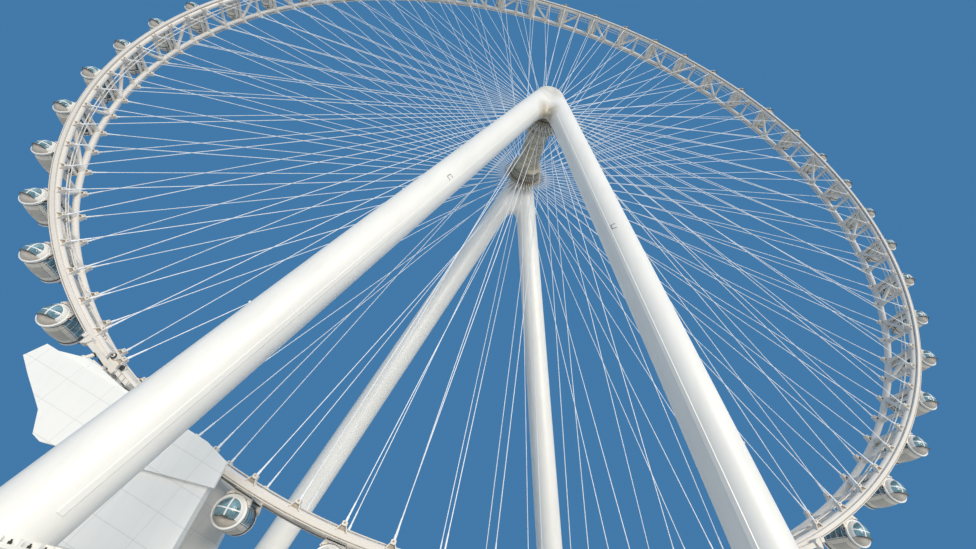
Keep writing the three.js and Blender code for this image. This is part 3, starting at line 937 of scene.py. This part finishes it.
def cabin_mesh():
    make = Make("cabin", cabin_white, hull_grey, glass_tint_and_reflection, nose_dark, floor_dark, seat_wood,
                dome_beige)
    add_shell(make)
    add_glazing_bars(make)
    for s in PAIR:
        add_end(make, s)
    floor = [(sqrt(hull_radius(y, -0.4) ** 2 - 0.011) - 0.004, y)
             for y in CABIN_YS if abs(y) < 0.38]
    floor = floor + [(-x, y) for x, y in reversed(floor)]
    make.loft([[Vector((x, y, z)) for x, y in floor] for z in (-0.106, -0.101)], FLOOR)
    bench = [(0.050, -0.11), (0.058, -0.08), (0.058, 0.08), (0.050, 0.11), (-0.050, 0.11),
             (-0.058, 0.08), (-0.058, -0.08), (-0.050, -0.11)]
    make.loft([[Vector((x, y, z)) for x, y in bench] for z in (-0.100, -0.060, -0.052)], BENCH)
    return make.mesh()


cabin = cabin_mesh()
for i in range(NODES // 2):
    label = "%02d" % (i + 1)
    piece("cabin_shell_" + label, cabin, "cabin_" + label, ("cabin_" + label,),
          wheel(CABIN_R, node_angle(2 * i + 1), 0))


# Drive towers and boarding deck. Outlines are (distance from the middle, height).
WALL_IN, WALL_OUT, DECK = 0.640, 0.860, 0.110
OUTER = [(6.486, 2.324), (6.635, 2.077), (6.376, 1.854), (5.869, 1.442), (5.688, 1.144),
         (5.543, 1.081), (3.192, 1.081), (3.201, 1.422), (3.579, 1.592)]
CORE = [(6.330, 2.285), (5.846, 2.299), (5.138, 2.020), (3.623, 1.620), (3.285, 1.462),
        (3.275, 0), (5.240, 0), (5.240, 1.120), (5.640, 1.180), (5.820, 1.480), (6.400, 1.990)]
# plates and boxes of the gear: outline, near side, far side, paint
PALE, RUBBER, GREY, BLACK, DOOR = range(5)
GEAR_PLATES = [
    # control cabinet with its door
    ([(5.830, 2.190), (5.600, 2.130), (5.575, 2.215), (5.800, 2.300)], 0.640, 0.800, PALE),
    ([(5.800, 2.192), (5.625, 2.146), (5.606, 2.208), (5.780, 2.270)], 0.800, 0.806, DOOR),
    # guide plate along the rail, a block at each end, and under it a black sheet, painted shade of
    # the recess
    ([(6.203, 2.638), (5.636, 2.336), (5.528, 2.298), (5.587, 2.209), (5.730, 2.253),
      (5.761, 2.315), (5.939, 2.422), (6.060, 2.476), (6.252, 2.578)], 0.480, 0.560, PALE),
    ([(6.392, 2.673), (6.377, 2.757), (6.302, 2.723), (6.325, 2.664)], 0.480, 0.600, PALE),
    ([(6.296, 2.720), (6.227, 2.689), (6.203, 2.638), (6.252, 2.578), (6.332, 2.557),
      (6.319, 2.661)], 0.482, 0.596, PALE),
    ([(6.303, 2.712), (6.295, 2.709), (6.316, 2.668), (6.323, 2.671)], 0.484, 0.590, BLACK),
    ([(5.714, 2.294), (5.647, 2.351), (5.528, 2.298), (5.576, 2.195)], 0.560, 0.620, PALE),
    # painted shade: black sheet in the recess under the guide plate
    ([(5.765, 2.330), (5.939, 2.424), (5.930, 2.385), (5.780, 2.300)], 0.490, 0.550, BLACK),
    # the next beam along the rail, and its bracket
    ([(5.481, 2.288), (5.480, 2.222), (5.202, 2.081), (5.170, 2.144)], 0.480, 0.690, PALE),
    ([(5.380, 2.200), (5.380, 2.060), (5.290, 2.060), (5.290, 2.160)], 0.650, 0.685, GREY)]
RAIL_ROLLERS = ((5.861, 2.530, 0.045, PALE), (5.600, 2.408, 0.040, RUBBER))
DRIVE_WHEELS = ((5.655, 2.300), (5.420, 2.130), (5.300, 2.050), (5.060, 1.900))
MOTORS = ((5.560, 2.175, 0.030), (5.455, 2.120, 0.024), (5.235, 2.035, 0.030),
          (5.130, 1.985, 0.024), (4.98, 1.93, 0.030))


def half_tower(walls, gear, sx, sy):
    """One wall of one tower, with the gear on it."""
    def at(x, y, z):
        return Vector((sx * x, sy * y, z))

    def sheet(make, outline, near, far, slot=0):
        make.loft([[at(x, y, z) for x, z in outline] for y in (near, far)], slot)

    sheet(walls, OUTER, WALL_OUT - 0.055, WALL_OUT)
    sheet(walls, CORE, WALL_IN, WALL_OUT - 0.056)
    # strut that steadies the rail, stepped like a ram
    p, q = at(6.095, 0.72, 2.20), at(5.985, 0.60, 2.44)
    d = q - p
    gear.bar([(p, 0.042), (p + d * 0.45, 0.042), (p + d * 0.46, 0.052), (p + d * 0.55, 0.052),
              (p + d * 0.56, 0.034), (p + d * 0.92, 0.034)], 20, PALE)
    gear.bar([(p + d * 0.92, 0.040), (q, 0.040)], 20, RUBBER)
    for outline, near, far, slot in GEAR_PLATES:
        sheet(gear, outline, near, far, slot)
    # rollers inside the rail, on arms from the plate
    for x, z, r, slot in RAIL_ROLLERS:
        c = wheel(RAIL_IN - r - 0.002, atan2(z - HUB_Z, sx * x), sy * 0.449)
        gear.turned([(r - 0.006, -0.015), (r, -0.010), (r, 0.010), (r - 0.006, 0.015)], c, 28,
                    RUBBER)
        gear.turned([(r * 0.72, -0.017), (r * 0.72, 0.017)], c, 20, slot)
        gear.turned([(0.010, 0.0), (0.010, sy * 0.045)], c, 10, BLACK)
        outward = (c - Vector((0, c.y, HUB_Z))).normalized()
        gear.block(c + Y * (sy * 0.050) + outward * 0.045, X * 0.016, Y * 0.010, Z * 0.060, GREY)
    # ribs of the next beam
    for u in (0.05, 0.35, 0.65, 0.95):
        x, z = 5.481 - 0.295 * u, 2.262 - 0.145 * u
        gear.block(at(x, 0.62, z - 0.012), X * 0.006, Y * 0.074, Z * 0.042, GREY)
    # rubber drive wheels that press on the rail, each on its bracket
    for x, z in DRIVE_WHEELS:
        c = wheel(RAIL_TOP + 0.066, atan2(z - HUB_Z, sx * x), sy * 0.585)
        gear.turned([(0.030, -0.036), (0.058, -0.034), (0.062, -0.026), (0.062, 0.026),
                     (0.058, 0.034), (0.030, 0.036)], c, 28, RUBBER)
        gear.turned([(0.026, -0.040), (0.026, 0.040)], c, 16, PALE)
        gear.turned([(0.012, 0.0), (0.012, sy * 0.085)], c, 10, BLACK)
        gear.block(c + Y * (sy * 0.078) - Z * 0.035, X * 0.030, Y * 0.012, Z * 0.075, GREY)
    # small motors and boxes between them
    for x, z, w in MOTORS:
        gear.block(at(x, 0.72, z), X * w, Y * 0.045, Z * (w * 1.2), GREY)
        gear.turned([(w * 0.8, -0.03), (w * 0.8, 0.05)], at(x + 0.05, 0.66, z + 0.01), 16, BLACK)


def boarding_deck():
    length, curb = 4.8, 0.012
    make = Make("boarding_deck", deck_grey)
    for wide, z0, z1 in ((0.83, 0, DECK - curb), (0.62, DECK - curb, DECK)):
        make.loft([[Vector((sx * length, sy * wide, z)) for sx, sy in CORNERS] for z in (z0, z1)])
    make.piece("base")


walls = Make("drive_towers", panel)
gear = Make("drive_gear", white, tyre, machine, socket_dark, panel)
for sx, sy in CORNERS:
    half_tower(walls, gear, sx, sy)
walls.piece("base", "boarding_platform")
gear.piece("base")
boarding_deck()


# Camera, found from the photograph's geometry
EYE = (-0.592, -7.704, 0.173)
RIGHT = Vector((0.959367348, -0.202845441, 0.196132656))
DOWN = Vector((0.279945744, 0.597365359, -0.751521795))
AHEAD = Vector((0.035279916, 0.775891974, 0.629878538))
FOCAL_PX, WIDTH_PX, SENSOR = 430.134, 976, 36

# Pale floor and sky
FLOOR_HALF, FLOOR_Z = 90, -0.002
SKY, SKY_STRENGTH = (0.065, 0.225, 0.46), 0.86


def add_camera():
    cam = bpy.data.cameras.new("camera")
    cam.sensor_width = SENSOR
    cam.sensor_fit = "HORIZONTAL"
    cam.lens = FOCAL_PX / WIDTH_PX * SENSOR
    cam.shift_x, cam.shift_y = -0.0004, 0.0148
    cam.clip_start, cam.clip_end = 0.02, 400
    eye = put("camera", cam)
    turn = Matrix((RIGHT, -DOWN, -AHEAD)).transposed().to_4x4()
    eye.matrix_world = Matrix.Translation(EYE) @ turn
    scene.camera = eye


def add_floor():
    paint = Paint("studio_floor", (0.82, 0.765, 0.68), 0.7, vary=0.015, scale=0.3)
    ground = Make("studio_floor", paint)
    ground.add([(sx * FLOOR_HALF, sy * FLOOR_HALF, FLOOR_Z) for sx, sy in CORNERS], [range(4)])
    put("studio_floor", ground.mesh())


def add_light(name, energy, angle, colour, towards=(0, 0, 1)):
    """A distant light that stands in the given direction."""
    light = bpy.data.lights.new(name, "SUN")
    light.energy = energy
    light.angle = radians(angle)
    light.color = colour
    put(name, light).rotation_euler = Vector(towards).to_track_quat("Z", "Y").to_euler()


add_camera()
add_floor()
# a low warm key from the front right, and a wide light that the floor throws back up
add_light("key", energy=2.65, angle=32, colour=(1.0, 0.925, 0.80), towards=(0.33, -0.87, 0.36))
add_light("overhead", energy=0.75, angle=120, colour=(1.0, 0.95, 0.88))
world = bpy.data.worlds.new("studio")
scene.world = world
world.use_nodes = True
background = world.node_tree.nodes["Background"].inputs
background["Color"].default_value = (*SKY, 1)
background["Strength"].default_value = SKY_STRENGTH
scene.view_settings.view_transform = "Standard"
